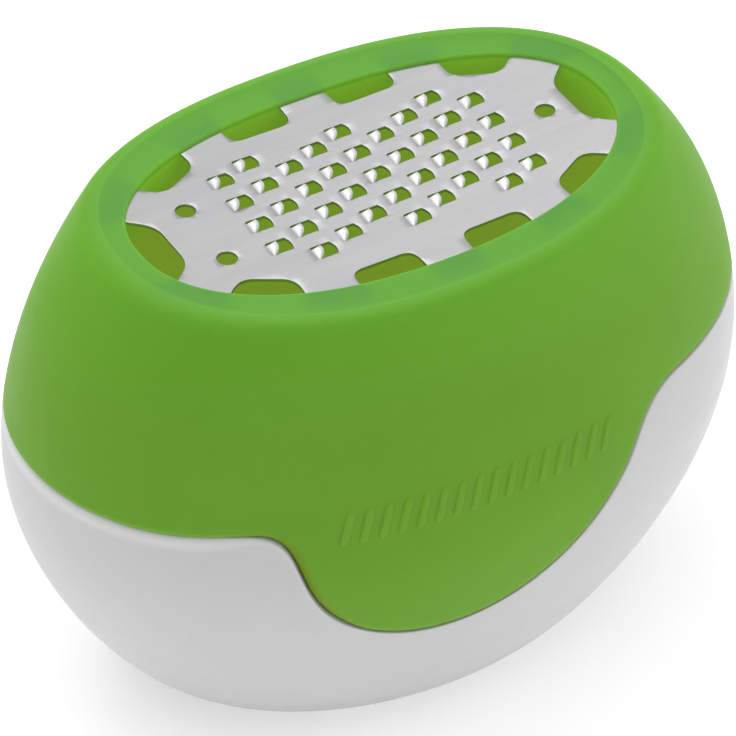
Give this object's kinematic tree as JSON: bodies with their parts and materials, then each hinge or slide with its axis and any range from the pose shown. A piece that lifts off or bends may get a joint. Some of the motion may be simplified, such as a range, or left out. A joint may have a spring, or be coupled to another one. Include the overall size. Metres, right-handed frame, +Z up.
{
  "type": "citrus zester",
  "caption": "Hand-held oval zester: a toothed steel blade set in a soft squeezable grip that lifts off a rigid cup, which catches the zest.",
  "frame": {"origin": "on the surface the cup stands on, under the middle of the oval", "axes": "+Z up out of the blade, +X along the long axis of the oval, in the direction the teeth cut"},
  "size_m": [0.1148, 0.0754, 0.0785],
  "materials": {
    "white_plastic": "satin moulded",
    "green_rubber": "soft translucent, fine matte",
    "steel": "brushed lengthwise"
  },
  "bodies": {
    "cup": {"base_cup": "white_plastic"},
    "head": {"grip_shell": "green_rubber", "blade": "steel"}
  },
  "joints": [
    {"name": "head_lift", "type": "slide", "parent": "cup", "child": "head", "axis": [0, 0, 1], "range_m": [0, 0.06]}
  ]
}
